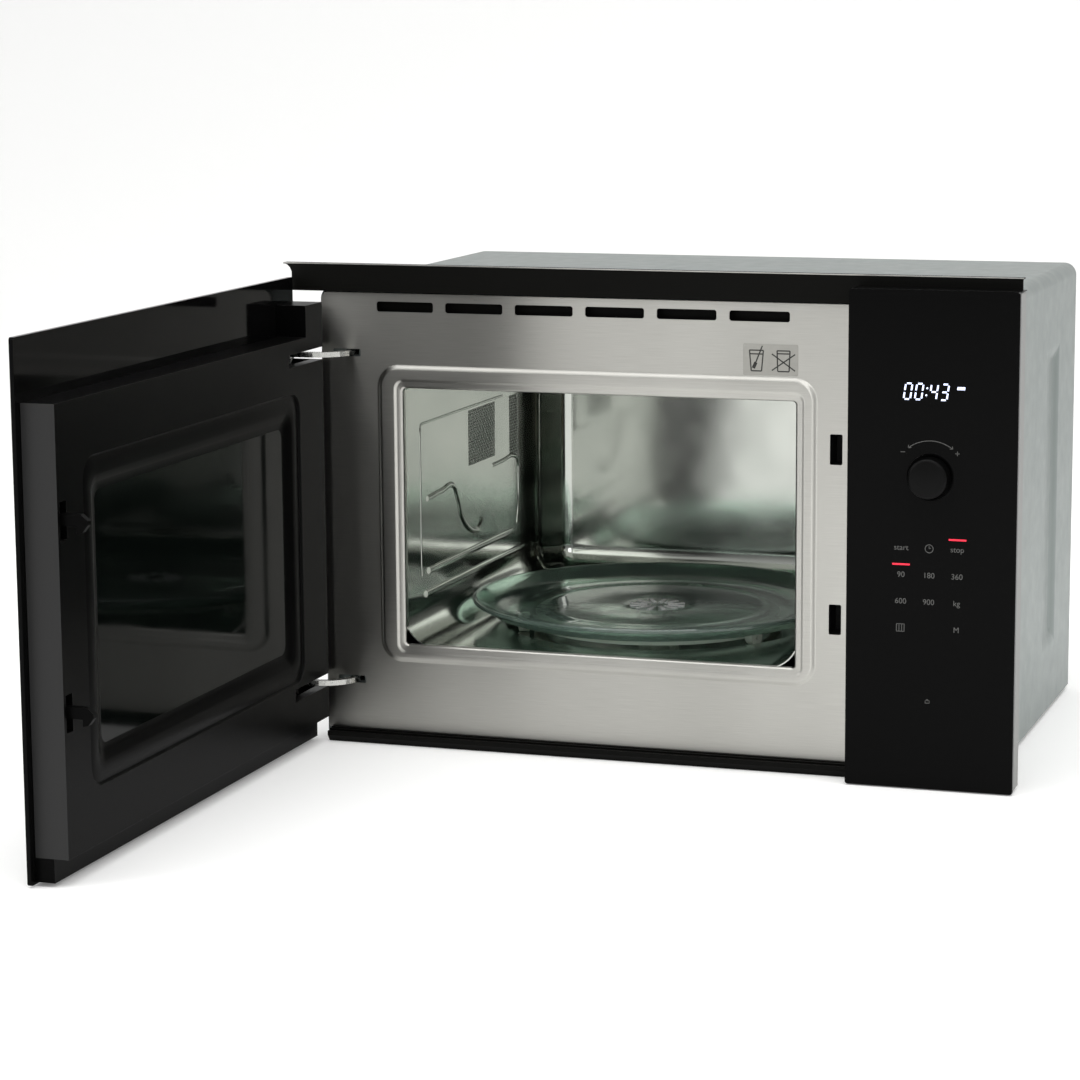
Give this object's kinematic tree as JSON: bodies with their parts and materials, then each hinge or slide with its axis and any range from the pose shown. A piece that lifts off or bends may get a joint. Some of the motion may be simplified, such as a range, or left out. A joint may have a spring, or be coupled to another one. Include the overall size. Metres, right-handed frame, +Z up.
{
  "type": "built-in microwave oven",
  "caption": "Built-in microwave oven with a side-hung glass door standing open, control panel with knob and display, and a roller-borne glass turntable.",
  "frame": {"origin": "middle of the front, on the sole of the bottom rail and in the face of the steel front plate", "axes": "+Z up, -Y out of the oven towards the room, +X to the right seen from the room"},
  "size_m": [0.589, 0.8294, 0.382],
  "materials": {
    "stainless": "brushed sheet, fine horizontal grain",
    "cavity_steel": "semi-bright stainless",
    "zinc_sheet": "smooth zinc-coated sheet",
    "black_glass": "back-painted gloss",
    "dark_tinted_glass": "gloss",
    "clear_glass": "pressed, clear",
    "black_paint": "satin",
    "black_plastic": "semi-gloss",
    "dark_plastic": "matt",
    "grey_plastic": "matt",
    "white_plastic": "matt",
    "bright_steel": "zinc-plated, bright",
    "copper": "enamelled winding",
    "iron": "dark lamination",
    "aluminium": "mill",
    "circuit_board": "lacquered",
    "mica": "matt",
    "rubber": "matt",
    "display": "dark panel with lit digits"
  },
  "bodies": {
    "oven": {"cavity_front_plate": "stainless", "cavity_shell": "cavity_steel", "casing": "zinc_sheet", "base_pan": "zinc_sheet", "rear_panel": "zinc_sheet", "hinge_bracket_upper": "zinc_sheet", "hinge_bracket_lower": "zinc_sheet", "waveguide": "zinc_sheet", "lamp_holder": "zinc_sheet", "turntable_motor": "zinc_sheet", "control_panel_glass": "black_glass", "cavity_lamp": "clear_glass", "top_trim": "black_paint", "bottom_rail": "black_paint", "touch_key_foil": "black_plastic", "hv_diode": "black_plastic", "latch_bracket": "dark_plastic", "door_switch_primary": "dark_plastic", "door_switch_monitor": "dark_plastic", "door_switch_secondary": "dark_plastic", "control_panel_housing": "grey_plastic", "thermal_cutout": "white_plastic", "fan_duct": "white_plastic", "rear_screw_left": "bright_steel", "rear_screw_right": "bright_steel", "hinge_arm_upper": "bright_steel", "hinge_arm_lower": "bright_steel", "transformer_windings": "copper", "knob_encoder": "iron", "transformer_core": "iron", "fan_motor": "iron", "magnetron": "aluminium", "hv_capacitor": "aluminium", "control_board": "circuit_board", "noise_filter": "circuit_board", "waveguide_cover": "mica", "cord_gland": "rubber", "rear_foot_left": "rubber", "rear_foot_right": "rubber", "display_module": "display"},
    "door": {"door_glass": "black_glass", "door_frame": "black_plastic", "door_choke_frame": "zinc_sheet", "door_screen": "black_paint", "door_inner_glass": "dark_tinted_glass", "latch_spring": "bright_steel", "hinge_pin_upper": "bright_steel", "hinge_pin_lower": "bright_steel"},
    "latch_key": {"latch_key": "black_plastic"},
    "knob": {"knob": "black_plastic"},
    "fan_impeller": {"fan_impeller": "dark_plastic"},
    "turntable_coupler": {"turntable_coupler": "white_plastic"},
    "turntable_glass": {"turntable_glass": "clear_glass"},
    "roller_ring": {"roller_ring": "white_plastic"},
    "roller_1": {"roller_1": "white_plastic"},
    "roller_2": {"roller_2": "white_plastic"},
    "roller_3": {"roller_3": "white_plastic"},
    "switch_plunger_primary": {"switch_plunger_primary": "white_plastic"},
    "switch_plunger_monitor": {"switch_plunger_monitor": "white_plastic"},
    "switch_plunger_secondary": {"switch_plunger_secondary": "white_plastic"}
  },
  "joints": [
    {"name": "door_hinge", "type": "hinge", "parent": "oven", "child": "door", "pos_m": [-0.279, -0.0232, 0.18], "axis": [0, 0, 1], "range_deg": [0, 90]},
    {"name": "latch_slide", "type": "slide", "parent": "door", "child": "latch_key", "axis": [0, 0, 1], "range_m": [0, 0.005], "stiffness_N_per_m": 400, "springref_m": -0.004},
    {"name": "knob_turn", "type": "hinge", "parent": "oven", "child": "knob", "pos_m": [0.2323, -0.03, 0.2365], "axis": [0, 1, 0], "continuous": true},
    {"name": "fan_spin", "type": "hinge", "parent": "oven", "child": "fan_impeller", "pos_m": [0.2, 0.318, 0.25], "axis": [0, 1, 0], "continuous": true},
    {"name": "turntable_spin", "type": "hinge", "parent": "oven", "child": "turntable_coupler", "pos_m": [-0.0353, 0.165, 0.08], "axis": [0, 0, 1], "continuous": true},
    {"name": "turntable_lift", "type": "slide", "parent": "turntable_coupler", "child": "turntable_glass", "axis": [0, 0, 1], "range_m": [0, 0.03]},
    {"name": "ring_spin", "type": "hinge", "parent": "oven", "child": "roller_ring", "pos_m": [-0.0353, 0.165, 0.0803], "axis": [0, 0, 1], "continuous": true},
    {"name": "roller_spin_1", "type": "hinge", "parent": "roller_ring", "child": "roller_1", "pos_m": [-0.0353, 0.277, 0.0803], "axis": [0, 1, 0], "continuous": true},
    {"name": "roller_spin_2", "type": "hinge", "parent": "roller_ring", "child": "roller_2", "pos_m": [-0.13229, 0.109, 0.0803], "axis": [-0.866, -0.5, 0], "continuous": true},
    {"name": "roller_spin_3", "type": "hinge", "parent": "roller_ring", "child": "roller_3", "pos_m": [0.06169, 0.109, 0.0803], "axis": [0.866, -0.5, 0], "continuous": true},
    {"name": "plunger_primary", "type": "slide", "parent": "oven", "child": "switch_plunger_primary", "axis": [1, 0, 0], "range_m": [0, 0.0008], "stiffness_N_per_m": 300, "springref_m": -0.001},
    {"name": "plunger_monitor", "type": "slide", "parent": "oven", "child": "switch_plunger_monitor", "axis": [1, 0, 0], "range_m": [0, 0.0008], "stiffness_N_per_m": 300, "springref_m": -0.001},
    {"name": "plunger_secondary", "type": "slide", "parent": "oven", "child": "switch_plunger_secondary", "axis": [1, 0, 0], "range_m": [0, 0.0008], "stiffness_N_per_m": 300, "springref_m": -0.001}
  ],
  "couplings": [
    {"joint": "ring_spin", "follows": "turntable_spin", "ratio": 0.5},
    {"joint": "roller_spin_1", "follows": "turntable_spin", "ratio": -9.3333},
    {"joint": "roller_spin_2", "follows": "turntable_spin", "ratio": -9.3333},
    {"joint": "roller_spin_3", "follows": "turntable_spin", "ratio": -9.3333}
  ]
}
